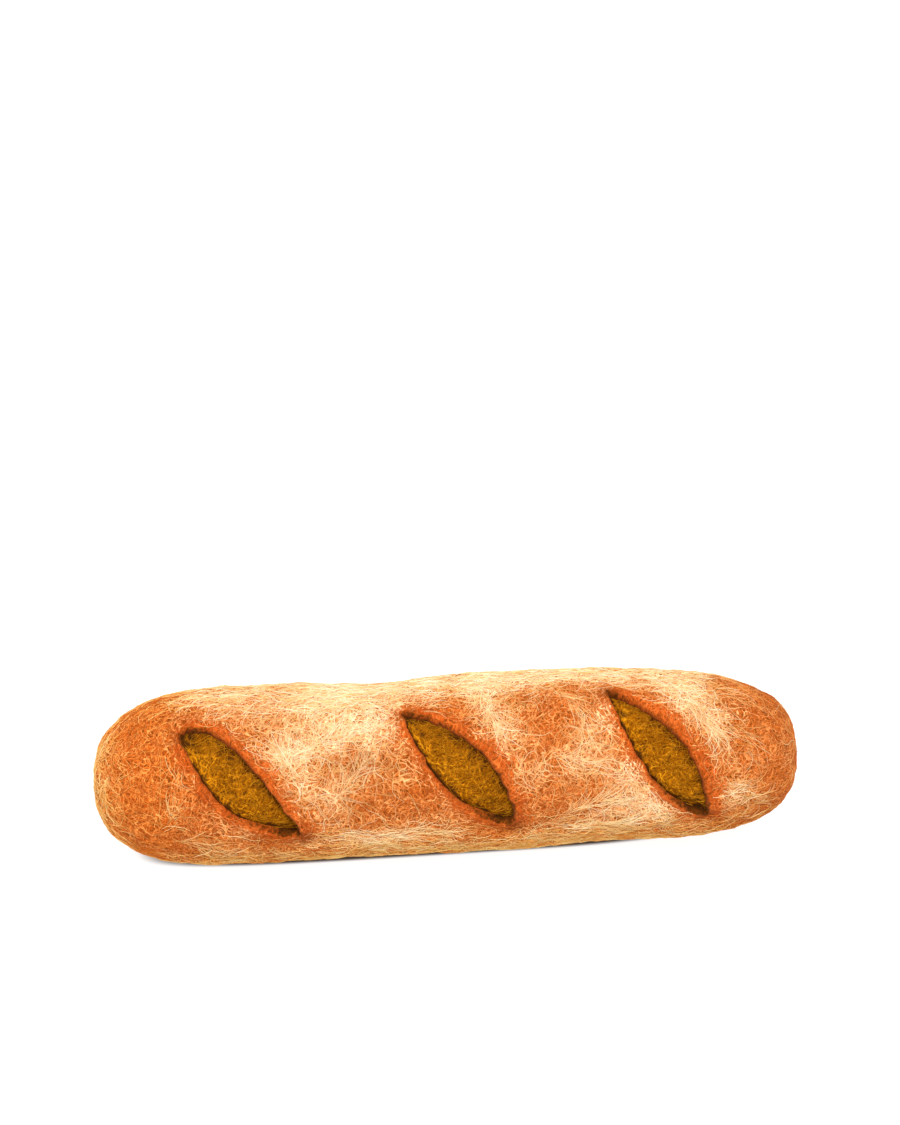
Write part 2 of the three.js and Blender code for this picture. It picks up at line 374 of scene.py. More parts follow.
# Heaps of cream wool: x, arc, spread along, spread round, strength. Below zero, cream is missing.
CREAM = [
    (-38, 26, 17, 15, 1.0),
    (-28, 14, 12, 7, 0.6),
    (-52, 8, 6, 6, 0.8),
    (-52, -4, 7, 5, 0.5),
    (-42, -7, 8, 6, 0.3),
    (-75, 34, 20, 8, 0.5),
    (-70, 20, 10, 7, 0.25),
    (-93, 6, 3, 12, 0.2),
    (-30, 4, 14, 5, 0.15),
    (-27, -27, 16, 4, 0.7),
    (0, 36, 26, 8, 0.6),
    (13, 26, 5, 10, 0.8),
    (19, 10, 5, 8, 0.4),
    (-8, 28, 5, 4, 0.3),
    (50, 35, 36, 7, 0.6),
    (32, 33, 12, 5, 0.3),
    (106, 22, 10, 9, 0.2),
    (104, -24, 12, 8, 0.2),
    (53, 14, 4, 10, 0.5),
    (47, 2, 7, 5, 0.35),
    (60, -7, 5, 7, 0.7),
    (66, -20, 9, 7, 0.9),
    (45, -28, 14, 3, 0.5),
    (80, 24, 9, 9, 1.0),
    (91, 8, 5, 9, 0.6),
    (97, -13, 6, 5, 0.6),
    (30, -5, 8, 5, 0.15),
    (20, -36, 70, 6, 0.4),
    (-75, -36, 22, 6, 0.2),
    (-105, 0, 17, 60, -0.45),
    (-121, 0, 12, 60, 0.55),
    (108, 5, 13, 60, -0.45),
    (-84, -14, 10, 10, -0.2),
    (-19, -12, 11, 7, -0.5),
    (3, 21, 6, 5, -0.6),
    (34, 12, 6, 9, -0.45),
    (43, 22, 6, 5, -0.5),
    (38, -22, 6, 4, -0.5),
    (18, -28, 8, 4, -0.5),
    (34, -14, 10, 3, -0.3),
    (-62, -28, 9, 4, -0.4),
]
CREAM_EVERYWHERE = 0.30
# Random fields of cream wool, everywhere and on the back: strength, width and seed.
CREAM_PATCHES = [(0.10, 5.0, 41), (0.06, 2.2, 42)]
CREAM_BEHIND = 0.22
CREAM_PATCHES_BEHIND = [(0.22, 12.0, 43)]


def add_heaps(amount, heaps, x, arc):
    """Adds to the amount, for each heap, a bell along the loaf times a bell round it."""
    for at, middle, along, around, strength in heaps:
        amount = amount + strength * bell(x - at, along) * bell(arc - middle, around)
    return amount


def cream_at(x, arc, points):
    """How much cream wool lies at a place, 0 to 1: the listed heaps round the face, an uneven cover
    on the back and underside, and small random variation everywhere."""
    amount = add_heaps(CREAM_EVERYWHERE + clouds(points, CREAM_PATCHES), CREAM, x, arc)
    behind = smooth_step(36, 48, np.abs(arc)) * smooth_step(118, 90, np.abs(x))
    cover = CREAM_BEHIND + clouds(points, CREAM_PATCHES_BEHIND)
    return np.clip(amount + behind * cover, 0, 1)


# Where the wool is browned, at the slashes' tips and in patches: x, arc, spread along, spread round
# and how much.
BROWNED = [
    (-88.5, 13.5, 2.6, 2.0, 0.9),
    (-13.5, 18, 3.0, 2.0, 1.2),
    (55.5, 22.6, 3.0, 2.0, 1.3),
    (-49.6, -26, 3.6, 2.2, 1.1),
    (21, -25.6, 2.4, 2.4, 1.1),
    (86.2, -23.4, 2.4, 2.2, 1.0),
    (-28, 2, 12, 4, 0.3),
    (-22, -12, 12, 8, 0.15),
]


def browned_at(x, arc):
    """How brown the wool is, 0 to 1."""
    return np.clip(add_heaps(np.zeros(x.shape), BROWNED, x, arc), 0, 1)


def golden_and_low_shade_at(points):
    """How golden the wool is, 0 to 1: it is yellower and deeper in colour at the left end, and below
    the middle, where the darker, warmer colour is painted shade."""
    low = smooth_step(31, 11, points[..., 2])
    return np.maximum(low, 0.8 * smooth_step(-80, -100, points[..., 0]))


# ---------------------------------------------------------------- meshes from arrays

# The empty rim of a tube's cell in the map, as a share of the cell.
CELL_MARGIN = 0.04


def loft_mesh(name, rings, start, end, marks=None):
    """One mesh of closed tubes. rings has the shape (tubes, stations, sides, 3), and each tube closes
    on the points start and end. Each tube has its own cell in the map OFBake, stations across it and
    sides up it. marks are numbers or vectors for each ring point, kept as attributes of the points."""
    tubes, stations, sides, _ = rings.shape
    per_tube = stations * sides + 2
    points = np.concatenate([start[:, None], rings.reshape(tubes, -1, 3), end[:, None]], 1)
    j = np.arange(sides)
    after = (j + 1) % sides
    i = np.arange(stations - 1)[:, None]
    low = i * sides
    quads = np.stack([low + j, low + after, low + sides + after, low + sides + j], -1)
    quads = quads.reshape(-1, 4) + 1
    last = (stations - 1) * sides + 1
    first_fan = np.stack([np.zeros(sides, int), after + 1, j + 1], -1)
    last_fan = np.stack([np.full(sides, per_tube - 1), last + j, last + after], -1)
    tube_loops = np.concatenate([first_fan.ravel(), quads.ravel(), last_fan.ravel()])
    tube_totals = np.concatenate([np.full(sides, 3), np.full(len(quads), 4), np.full(sides, 3)])
    loops = (tube_loops + per_tube * np.arange(tubes)[:, None]).ravel()
    totals = np.tile(tube_totals, tubes)

    across = (np.arange(stations) + 1) / (stations + 1)
    middle = (j + 0.5) / sides
    first_u = np.tile([0, across[0], across[0]], (sides, 1))
    first_uv = np.stack([first_u, np.stack([middle, (j + 1) / sides, j / sides], -1)], -1)
    last_u = np.tile([1, across[-1], across[-1]], (sides, 1))
    last_uv = np.stack([last_u, np.stack([middle, j / sides, (j + 1) / sides], -1)], -1)
    low_u = np.repeat(across[:-1], sides)
    high_u = np.repeat(across[1:], sides)
    low_v = np.tile(j / sides, stations - 1)
    high_v = np.tile((j + 1) / sides, stations - 1)
    quad_u = np.stack([low_u, low_u, high_u, high_u], -1)
    quad_v = np.stack([low_v, high_v, high_v, low_v], -1)
    quad_uv = np.stack([quad_u, quad_v], -1)
    tube_uv = np.concatenate([part.reshape(-1, 2) for part in (first_uv, quad_uv, last_uv)])
    cells = int(np.ceil(np.sqrt(tubes)))
    number = np.arange(tubes)
    corner = np.stack([number % cells, number // cells], -1)
    uv = (corner[:, None] + CELL_MARGIN + (1 - 2 * CELL_MARGIN) * tube_uv) / cells

    mesh = bpy.data.meshes.new(name)
    mesh.vertices.add(tubes * per_tube)
    mesh.vertices.foreach_set("co", (points * MM).astype(np.float32).ravel())
    mesh.loops.add(len(loops))
    mesh.loops.foreach_set("vertex_index", loops.astype(np.int32))
    mesh.polygons.add(len(totals))
    starts = np.concatenate([[0], np.cumsum(totals)[:-1]])
    mesh.polygons.foreach_set("loop_start", starts.astype(np.int32))
    mesh.uv_layers.new(name="OFBake").uv.foreach_set("vector", uv.astype(np.float32).ravel())
    for mark, values in (marks or {}).items():
        vector = values.size == rings.size
        values = values.reshape(tubes, stations * sides, -1)
        values = np.concatenate([values[:, :1], values, values[:, -1:]], 1)
        attribute = mesh.attributes.new(mark, "FLOAT_VECTOR" if vector else "FLOAT", "POINT")
        attribute.data.foreach_set("vector" if vector else "value", values.astype(np.float32).ravel())
    mesh.update(calc_edges=True)
    mesh.shade_smooth()
    piece = bpy.data.objects.new(name, mesh)
    bpy.context.scene.collection.objects.link(piece)
    return piece


# ---------------------------------------------------------------- the felted body and the pads

LOAF_STATIONS = 430
LOAF_SIDES = 230
# How much closer together the sides are on the face.
FACE_CROWDING = 0.42
PAD_STATIONS = 110
PAD_TOP_POINTS = 46
PAD_UNDER_POINTS = 10


def make_loaf():
    """The felted body: a grid of length walked along the outline and of turn. The sides are closer
    together on the face, where the slashes are, by a share of a sine added to the even turns."""
    walked = np.linspace(0, WALK_LENGTH, LOAF_STATIONS + 2)[1:-1]
    even = 2 * np.pi * np.arange(LOAF_SIDES) / LOAF_SIDES
    turn = even - FACE_CROWDING * np.sin(even)
    along, around = np.meshgrid(walked, turn, indexing="ij")
    rings = loaf_surface(along, around)
    ends = loaf_surface(np.array([0.0, WALK_LENGTH]), np.zeros(2))
    x, _, arc = place_on_loaf(along, around)
    marks = {
        "cream": cream_at(x, arc, rings),
        "brown_and_shade": browned_at(x, arc),
        "golden": golden_and_low_shade_at(rings),
        "out": loaf_out(along, around),
        **slash_relief(x, arc)[1],
    }
    return loft_mesh("felt_loaf", rings[None], ends[:1], ends[1:], marks)


def make_pad(slash, number):
    """A pad: rings round its section, from the lower edge over the crowned top to the upper edge and
    back underneath, carried from tip to tip. The mark rim is 1 where the pad is darkest: painted shade
    under the lips, most along the upper edge and at the tips, with dark wool."""
    s = (1 - np.cos(np.linspace(0, np.pi, PAD_STATIONS + 2)[1:-1])) / 2
    over = np.linspace(-1, 1, PAD_TOP_POINTS)
    v = np.concatenate([over, np.linspace(1, -1, PAD_UNDER_POINTS + 2)[1:-1]])
    low = np.arange(len(v)) >= PAD_TOP_POINTS
    s, v = np.meshgrid(s, v, indexing="ij")
    low = np.broadcast_to(low, s.shape)
    rings = pad_surface(slash, s, v, low=low)
    ends = pad_surface(slash, np.array([0.0, 1.0]), np.zeros(2), lift=-0.8)
    lower_rim = np.maximum(0.9 * v**5 * np.sign(v), smooth_step(0.5, 0.85, s) * np.abs(v) ** 2.5)
    rim = np.where(low, 1.0, np.where(v > 0, v**2.4, lower_rim))
    tips = np.clip(np.abs(s - 0.5) * 2, 0, 1) ** 3.4
    out = np.broadcast_to([0.0, -np.cos(FACE_ANGLE), np.sin(FACE_ANGLE)], rings.shape)
    marks = {"rim": np.maximum(rim, tips), "out": out}
    return loft_mesh(f"felt_pad_{number}", rings[None], ends[:1], ends[1:], marks)


# ---------------------------------------------------------------- strands of wool

# The kinds of wool on the crust, from the lowest layer to the highest: name, number of strands,
# colours, width, lift over the felt, how near to a recess they come, and the chance of one for the
# cream at a place. The strands of the lips come on top of the rust ones, and those of the wisps are
# among the cream ones.
CRUST_STRANDS = [
    ("rust_strands", 2800, [(166, 74, 18), (193, 93, 30), (214, 119, 54)],
     (0.11, 0.21), (0.0, 0.15), (0.2, 0.8), lambda cream: 0.6 * (1 - cream)),
    ("orange_strands", 4800, [(206, 113, 43), (212, 125, 57), (232, 157, 89)],
     (0.11, 0.21), (0.03, 0.22), (0.3, 2.0), lambda cream: 0.9 * (1 - 0.75 * cream)),
    ("peach_strands", 5000, [(220, 136, 66), (225, 159, 95), (246, 201, 147)],
     (0.11, 0.21), (0.06, 0.28), (0.5, 3.6), lambda cream: 0.18 + 0.6 * cream),
    ("straw_strands", 5000, [(226, 157, 77), (233, 183, 114), (249, 216, 158)],
     (0.11, 0.22), (0.08, 0.32), (0.6, 4.0), lambda cream: 0.95 * np.maximum(cream - 0.06, 0)),
    ("cream_strands", 5400, [(231, 175, 107), (242, 209, 157), (252, 231, 197)],
     (0.13, 0.26), (0.1, 0.36), (0.7, 4.2), lambda cream: np.maximum(cream - 0.08, 0) ** 1.2),
]
LIP_STRANDS = 2200
PAD_STRANDS = 2400
# Wisps of cream wool: from and to (x, arc), bow to the left, spread, and number of strands.
WISPS = [
    (-58, 0, -30, 14, 1.0, 0.8, 45),
    (-50, -4, -56, 10, 0.5, 1.2, 30),
    (-30, 14, -4, 22, -1.0, 1.0, 40),
    (-95, 12, -96, -14, 1.0, 1.2, 10),
    (-97, -20, -88, -8, 0.0, 0.8, 10),
    (-93, -24, -80, -29, 0.0, 1.2, 14),
    (32, -27, 60, -17, 3.5, 0.4, 60),
    (30, -29, 60, -27, 1.0, 0.8, 40),
    (35, 26, 46, 8, 3.0, 0.8, 40),
    (30, 3, 62, -6, -2.0, 1.2, 50),
    (12, 34, 18, 10, -2.0, 1.2, 50),
    (44, 27, 60, 14, 2.0, 0.8, 30),
    (78, 28, 92, 6, -2.0, 1.2, 60),
    (87, 14, 106, 1, 1.5, 0.3, 14),
    (90, 10, 102, -3, 2.0, 0.4, 8),
    (92, -12, 104, -17, 0.0, 1.6, 30),
    (58, 4, 70, -22, 2.0, 1.4, 60),
    (-28, -26, 0, -27, 1.0, 1.0, 40),
    (-40, -14, -30, 0, 1.0, 0.8, 20),
]

STRAND_POINTS = 8
STRAND_MIDDLE = STRAND_POINTS // 2
STRAND_LENGTH = (7.5, 14.0)
WISP_LENGTH = (9.0, 15.0)
LIP_STRAND_LENGTH = (3.0, 7.0)
PAD_STRAND_LENGTH = (5.0, 10.0)
PAD_STRAND_WIDTH = (0.1, 0.18)
# How far out the strands of a lip start, at its upper edge, and the share of that at the lower.
LIP_REACH = 4.6
LIP_REACH_BELOW = 0.65
# More places are tried than strands are wanted, as some are unlikely or too near to a slash.
TRIES = 12
# The middle of a strand is lifted, and both its ends go down into the felt.
STRAND_ARCH = np.sin(np.pi * np.linspace(0, 1, STRAND_POINTS)) ** 0.6
STRAND_END_SINK = 0.15
# A strand's way out of the surface points from this far below it.
MIDDLE_BELOW = 12.0
# A strand's slow bend in radians for each millimetre, and the wave length of its curl.
STRAND_BEND = 0.08
CURL_LENGTH = (6.0, 15.0)
# Strands stop this far from the middle of each end, and steer there as on this radius at least.
END_MARGIN = 0.6
LEAST_RADIUS = 3.0


def strand_tubes(name, spine, middle, width, marks):
    """Thin three-sided tubes along `spine` (strands, points, 3), closed to a point at both ends and
    fullest in their middle. `middle` is a point inside the loaf for each spine point, which gives the
    way out of the surface."""
    out = spine - middle
    out /= np.linalg.norm(out, axis=-1, keepdims=True)
    ahead = np.gradient(spine, axis=1)
    ahead /= np.linalg.norm(ahead, axis=-1, keepdims=True)
    beside = np.cross(ahead, out)
    beside /= np.linalg.norm(beside, axis=-1, keepdims=True)
    inner = slice(1, -1)
    share = np.linspace(0, 1, STRAND_POINTS)[inner]
    thickness = (width[:, None] / 2) * np.sin(np.pi * share) ** 0.35
    rings = []
    for side in range(3):
        angle = np.pi / 2 - side * 2 * np.pi / 3
        arm = beside[:, inner] * np.cos(angle) + out[:, inner] * np.sin(angle)
        rings.append(spine[:, inner] + arm * thickness[..., None])
    rings = np.stack(rings, 2)
    rings[..., 2] = np.maximum(rings[..., 2], 0.0)
    spine[..., 2] = np.maximum(spine[..., 2], 0.0)
    size = rings.shape[:3]
    marks = {mark: np.broadcast_to(value[:, None, None], size) for mark, value in marks.items()}
    return loft_mesh(name, rings, spine[:, 0], spine[:, -1], marks)


def curl_headings(rng, heading, step, swing):
    """The turn of each strand's heading at each point: a slow bend and a wave as wide as `swing`."""
    count = len(heading)
    at = step[:, None] * np.arange(STRAND_POINTS)
    bend = rng.normal(0, STRAND_BEND, count)[:, None]
    wave = rng.uniform(*CURL_LENGTH, count)[:, None]
    phase = rng.uniform(0, 2 * np.pi, count)[:, None]
    return heading[:, None] + bend * at + swing[:, None] * np.sin(2 * np.pi * at / wave + phase)


def walk_strands(rng, walked, turn, heading, length, swing):
    """Carries each strand over the loaf in equal steps. The heading is measured from the loaf's
    length; it turns by the strand's curl, and by what keeps a straight strand straight where the
    loaf's radius changes."""
    step = length / (STRAND_POINTS - 1)
    curl = curl_headings(rng, heading, step, swing)
    steer = np.zeros(len(walked))
    places = []
    for k in range(STRAND_POINTS):
        places.append((walked, turn))
        radius = np.maximum(np.interp(walked, WALKED, WALK_RADIUS), LEAST_RADIUS)
        slope = np.interp(walked, WALKED, WALK_DR)
        way = curl[:, k] + steer
        steer = steer - step * slope / radius * np.sin(way)
        walked = np.clip(walked + step * np.cos(way), END_MARGIN, WALK_LENGTH - END_MARGIN)
        turn = turn + step * np.sin(way) / radius
    return np.stack([p[0] for p in places], 1), np.stack([p[1] for p in places], 1)


def scatter(rng, count):
    """Even random places on the loaf: the chance of a length walked grows with the radius there."""
    share = np.concatenate([[0], np.cumsum(np.diff(WALKED) * WALK_RADIUS[1:])])
    walked = np.interp(rng.uniform(0, share[-1], count), share, WALKED)
    return walked, rng.uniform(-np.pi, np.pi, count)


def scattered_starts(rng, count, chance):
    """Starts of strands all over the loaf. `chance` gives how likely a strand is at a place, from the
    cream there. On the face they lie every way; along the underside, the top and the ends most of
    them follow the loaf's length."""
    walked, turn = scatter(rng, count * TRIES)
    x, radius, arc = place_on_loaf(walked, turn)
    plain = np.stack([x, radius * np.cos(turn), radius * np.sin(turn)], -1)
    chosen = rng.uniform(size=len(walked)) < chance(cream_at(x, arc, plain))
    walked, turn, x, arc = walked[chosen], turn[chosen], x[chosen], arc[chosen]
    along = np.maximum(smooth_step(18, 30, np.abs(arc)), smooth_step(88, 108, np.abs(x)))
    lengthwise = rng.uniform(size=len(x)) < 0.15 + 0.6 * along
    heading = rng.uniform(0, 2 * np.pi, len(x))
    heading = np.where(lengthwise, np.pi * (heading < np.pi) + rng.normal(0, 0.35, len(x)), heading)
    length = rng.uniform(*STRAND_LENGTH, len(x))
    return walked, turn, heading, length, rng.uniform(0.15, 0.75, len(x))


def join_parts(parts):
    """One set of starts from several."""
    return tuple(np.concatenate(part) for part in zip(*parts))


def lip_starts(rng, count):
    """Starts of strands on the slashes' lips, most of them along the leaf outline."""
    parts = []
    for slash in SLASHES:
        outline = leaf_outline(slash)
        ahead = np.roll(outline, -1, axis=0) - outline
        size = np.linalg.norm(ahead, axis=1)
        pick = rng.choice(len(outline), count // len(SLASHES), p=size / size.sum())
        way = ahead[pick] / size[pick, None]
        reach = np.where(outline[pick, 1] > 0, LIP_REACH, LIP_REACH * LIP_REACH_BELOW)
        off = rng.uniform(0.1, 1, len(pick)) * reach
        place = outline[pick] + ahead[pick] * rng.uniform(size=(len(pick), 1))
        place = place + np.stack([-way[:, 1], way[:, 0]], -1) * off[:, None]
        spread = np.where(rng.uniform(size=len(pick)) < 0.6, 1.5, 0.5)
        heading = np.arctan2(way[:, 1], way[:, 0]) + slash["slant"]
        heading = heading + rng.normal(0, 1, len(pick)) * spread
        x, arc = from_slash(slash, place[:, 0], place[:, 1])
        walked = np.interp(x, WALK_X, WALKED)
        swing = rng.uniform(0.1, 0.5, len(pick))
        length = rng.uniform(*LIP_STRAND_LENGTH, len(pick))
        parts.append((walked, arc / radius_at(x), heading, length, swing))
    return join_parts(parts)


def wisp_starts(rng):
    """Starts of strands that follow one another along a wisp: an arc from one place to another, bowed
    to its left by a distance."""
    parts = []
    for start_x, start_arc, end_x, end_arc, bow, spread, count in WISPS:
        span = np.array([end_x - start_x, end_arc - start_arc])
        left = np.array([-span[1], span[0]]) / np.linalg.norm(span)
        share = rng.uniform(-0.05, 0.9, count)[:, None]
        place = np.array([start_x, start_arc]) + span * share + left * bow * 4 * share * (1 - share)
        place = place + rng.normal(0, spread, (count, 2))
        ahead = span + left * bow * 4 * (1 - 2 * share)
        heading = np.arctan2(ahead[:, 1], ahead[:, 0]) + rng.normal(0, 0.22, count)
        walked = np.interp(place[:, 0], WALK_X, WALKED)
        turn = place[:, 1] / radius_at(place[:, 0])
        length = rng.uniform(*WISP_LENGTH, count)
        parts.append((walked, turn, heading, length, rng.uniform(0.05, 0.3, count)))
    return join_parts(parts)


def strand_heights(rng, lift, count):
    """How high each point of each strand lies over the felt."""
    return rng.uniform(*lift, count)[:, None] * STRAND_ARCH - STRAND_END_SINK * (1 - STRAND_ARCH)


def lay_strands(name, rng, starts, count, width, lift, keep_off):
    """Strands of one kind of wool over the loaf. Strands that reach nearer to a slash's recess than a
    random distance between the two given by `keep_off` are left out. A strand is paler where there is
    more cream."""
    walked, turn = walk_strands(rng, *starts)
    x, _, arc = place_on_loaf(walked, turn)
    away = slash_relief(x, arc)[1]["edge"]
    kept = np.nonzero(away.min(1) > rng.uniform(*keep_off, len(walked)))[0][:count]
    walked, turn = walked[kept], turn[kept]
    height = strand_heights(rng, lift, len(kept))
    spine = loaf_surface(walked, turn, height)
    middle = loaf_surface(walked, turn, height - MIDDLE_BELOW)
    x, _, arc = place_on_loaf(walked[:, STRAND_MIDDLE], turn[:, STRAND_MIDDLE])
    point = spine[:, STRAND_MIDDLE]
    tone = rng.uniform(0, 0.6, len(kept)) + 0.8 * cream_at(x, arc, point) - 0.2
    # Strands near a recess are darkened like the ground there: painted shade under the lips, with dark
    # wool.
    brown_and_shade = np.maximum(browned_at(x, arc), np.clip(slash_relief(x, arc)[1]["dark"] + 0.1, 0, 0.7))
    marks = {"tone": np.clip(tone, 0, 1), "brown_and_shade": brown_and_shade, "golden": golden_and_low_shade_at(point)}
    return strand_tubes(name, spine, middle, rng.uniform(*width, len(kept)), marks)


def lay_pad_strands(name, seed, count):
    """Short strands over the three pads, mostly slanting across them."""
    rng = np.random.default_rng(seed)
    spines = []
    middles = []
    share = count // len(SLASHES)
    for slash in SLASHES:
        length = rng.uniform(*PAD_STRAND_LENGTH, share)
        step = length / (STRAND_POINTS - 1)
        heading = rng.normal(np.radians(75), 0.7, share)
        curl = curl_headings(rng, heading, step, rng.uniform(0.1, 0.4, share))
        s = rng.uniform(0.04, 0.96, share)
        v = rng.uniform(-0.95, 0.95, share)
        along = np.cumsum(step[:, None] * np.cos(curl), 1) + ((s - 0.5) * slash["length"])[:, None]
        across = np.cumsum(step[:, None] * np.sin(curl), 1) + (v * side_bulge(slash, s, v))[:, None]
        s = np.clip(along / slash["length"] + 0.5, 0.01, 0.99)
        v = np.clip(across / side_bulge(slash, s, across), -0.97, 0.97)
        height = strand_heights(rng, (0.02, 0.3), share)
        spines.append(pad_surface(slash, s, v, height))
        middles.append(pad_surface(slash, s, v, height - MIDDLE_BELOW))
    spine = np.concatenate(spines)
    middle = np.concatenate(middles)
    width = rng.uniform(*PAD_STRAND_WIDTH, len(spine))
    return strand_tubes(name, spine, middle, width, {"tone": rng.uniform(size=len(spine))})


# ---------------------------------------------------------------- materials


def new_material(name):
    material = bpy.data.materials.new(name)
    material.use_nodes = True
    tree = material.node_tree
    return material, tree, tree.nodes["Principled BSDF"]


def add_node(tree, kind, inputs=None, **settings):
    """A node with its settings. Each of its inputs, by title or number, is linked where another node's
    socket is given, and set where a number or a colour is."""
    node = tree.nodes.new(kind)
    for key, value in settings.items():
        setattr(node, key, value)
    for title, value in (inputs or {}).items():
        if isinstance(value, bpy.types.NodeSocket):
            tree.links.new(value, node.inputs[title])
        else:
            node.inputs[title].default_value = value
    return node


def math_node(tree, operation, *values):
    return add_node(tree, "ShaderNodeMath", dict(enumerate(values)), operation=operation).outputs[0]


def times(tree, first, second):
    return math_node(tree, "MULTIPLY", first, second)


def range_node(tree, value, low, high, to_low=0.0, to_high=1.0):
    """A smooth step from to_low at the value low to to_high at the value high."""
    inputs = {"From Min": low, "From Max": high, "To Min": to_low, "To Max": to_high}
    inputs["Value"] = value
    node = add_node(tree, "ShaderNodeMapRange", inputs, interpolation_type="SMOOTHSTEP")
    return node.outputs["Result"]


def ramp_node(tree, value, colours, places=None):
    """A ramp over screen colours, which are evenly spaced where no places are given."""
    node = add_node(tree, "ShaderNodeValToRGB", {"Fac": value})
    elements = node.color_ramp.elements
    while len(elements) < len(colours):
        elements.new(0.5)
    places = places or [index / (len(colours) - 1) for index in range(len(colours))]
    for element, at, colour in zip(elements, places, colours):
        element.position = at
        element.color = srgb(*colour)
    return node.outputs["Color"]


def mix_node(tree, share, first, second, blend="MIX"):
    inputs = {0: share, 6: first, 7: second}
    node = add_node(tree, "ShaderNodeMix", data_type="RGBA", blend_type=blend, inputs=inputs)
    return node.outputs[2]


def attribute_node(tree, name, output="Fac"):
    return add_node(tree, "ShaderNodeAttribute", attribute_name=name).outputs[output]


def noise_node(tree, place, scale, detail=2.0):
    inputs = {"Vector": place, "Scale": scale, "Detail": detail}
    return add_node(tree, "ShaderNodeTexNoise", inputs, noise_dimensions="3D").outputs


def object_place(tree):
    """The shaded point's place in the part's own frame, in metres."""
    return add_node(tree, "ShaderNodeTexCoord").outputs["Object"]


def axes_of(tree, vector):
    return add_node(tree, "ShaderNodeSeparateXYZ", {0: vector}).outputs


WEB_LAYERS = 9
# The noises of the felt, in lumps to the metre: what bends the threads, what breaks them into lengths,
# the specks of the pits, the ragged edge of the lips and the patches of the pads.
SWAY_SCALE = 160.0
BREAK_SCALE = 190.0
SPECK_SCALE = 1050.0
FRINGE_SCALE = 800.0
PATCH_SCALE = 400.0
# How far apart two neighbouring sheets of a layer take their breaks.
SHEET_STEP = 5.3


def web_directions():
    """Directions spread evenly over half a sphere, by the golden angle."""
    k = np.arange(WEB_LAYERS)
    rise = (k + 0.5) / WEB_LAYERS
    turn = k * np.pi * (3 - np.sqrt(5))
    level = np.sqrt(1 - rise**2)
    return np.stack([level * np.cos(turn), level * np.sin(turn), rise], -1)


def felt_web_group():
    """Matted threads, as wool felt shows, in nine layers. A layer is a stack of even sheets across one
    direction n, bent by a noise, and a thread lies where the surface cuts a sheet: its distance is
    |fract(a) - 1/2| with a = size p.n + sway. A noise along each sheet, picked by floor(a), breaks it
    into lengths. A layer fades where n points out of the surface. Three layers each make the Low,
    Middle and High threads, and Pits are the dark places where no thread is."""
    group = bpy.data.node_groups.new("felt web", "ShaderNodeTree")
    face = group.interface
    face.new_socket("Out", in_out="INPUT", socket_type="NodeSocketVector")
    for title, value in (("Size", 600.0), ("Width", 0.1), ("Cover", 0.5)):
        face.new_socket(title, in_out="INPUT", socket_type="NodeSocketFloat").default_value = value
    for title in ("Low", "Middle", "High", "Pits"):
        face.new_socket(title, in_out="OUTPUT", socket_type="NodeSocketFloat")
    inside = add_node(group, "NodeGroupInput")
    outside = add_node(group, "NodeGroupOutput")
    place = object_place(group)
    sways = axes_of(group, noise_node(group, place, SWAY_SCALE, 1.0)["Color"])
    break_level = math_node(group, "MULTIPLY_ADD", inside.outputs["Cover"], -0.3, 0.65)
    threads = [None, None, None]
    for layer, way in enumerate(web_directions()):
        rotation = (0, np.arctan2(way[2], way[0]), -np.arcsin(way[1]))
        inputs = {"Vector": place, "Rotation": rotation}
        turned = add_node(group, "ShaderNodeMapping", inputs, vector_type="POINT")
        parts = axes_of(group, turned.outputs[0])
        bent = math_node(group, "MULTIPLY_ADD", sways[layer % 3], 5.0 + layer % 4, float(layer))
        across = math_node(group, "MULTIPLY_ADD", parts["X"], inside.outputs["Size"], bent)
        away = math_node(group, "SUBTRACT", math_node(group, "FRACT", across), 0.5)
        away = math_node(group, "ABSOLUTE", away)
        inputs = {
            "X": times(group, math_node(group, "FLOOR", across), SHEET_STEP),
            "Y": times(group, parts["Y"], BREAK_SCALE),
            "Z": times(group, parts["Z"], BREAK_SCALE),
        }
        sheet = add_node(group, "ShaderNodeCombineXYZ", inputs)
        breaks = noise_node(group, sheet.outputs[0], 1.0, 0.0)["Fac"]
        shows = range_node(group, math_node(group, "SUBTRACT", breaks, break_level), -0.03, 0.03)
        inputs = {0: inside.outputs["Out"], 1: way}
        outward = add_node(group, "ShaderNodeVectorMath", inputs, operation="DOT_PRODUCT")
        steep = math_node(group, "ABSOLUTE", outward.outputs["Value"])
        line = math_node(group, "DIVIDE", away, inside.outputs["Width"])
        seen = times(group, shows, range_node(group, steep, 0.9, 0.7))
        thread = times(group, range_node(group, line, 1.0, 0.4), seen)
        kind = layer % 3
        if threads[kind] is not None:
            thread = math_node(group, "MAXIMUM", threads[kind], thread)
        threads[kind] = thread
    for title, thread in zip(("Low", "Middle", "High"), threads):
        group.links.new(thread, outside.inputs[title])
    any_thread = math_node(group, "MAXIMUM", math_node(group, "MAXIMUM", *threads[:2]), threads[2])
    bare = math_node(group, "SUBTRACT", 1.0, any_thread)
    specks = range_node(group, noise_node(group, place, SPECK_SCALE)["Fac"], 0.54, 0.4)
    group.links.new(times(group, specks, bare), outside.inputs["Pits"])
    return group


def web_in(tree, group, size, width, cover):
    """The felt web in a material: sheets to the metre, a thread's half width as a share of the way
    from sheet to sheet, and how much of each thread shows. Gives its outputs."""
    out = attribute_node(tree, "out", "Vector")
    inputs = {"Out": out, "Size": size, "Width": width, "Cover": cover}
    return add_node(tree, "ShaderNodeGroup", inputs, node_tree=group).outputs


def finish_wool(tree, shader, colour, roughness=0.9, sheen=0.12):
    """The wool's looks: its colour, dull, with a faint sheen from the fuzz."""
    tree.links.new(colour, shader.inputs["Base Color"])
    for title, value in (
        ("Roughness", roughness),
        ("Specular IOR Level", 0.05),
        ("Sheen Weight", sheen),
        ("Sheen Roughness", 0.5),
        ("Sheen Tint", (1.0, 0.62, 0.3, 1.0)),
    ):
        shader.inputs[title].default_value = value


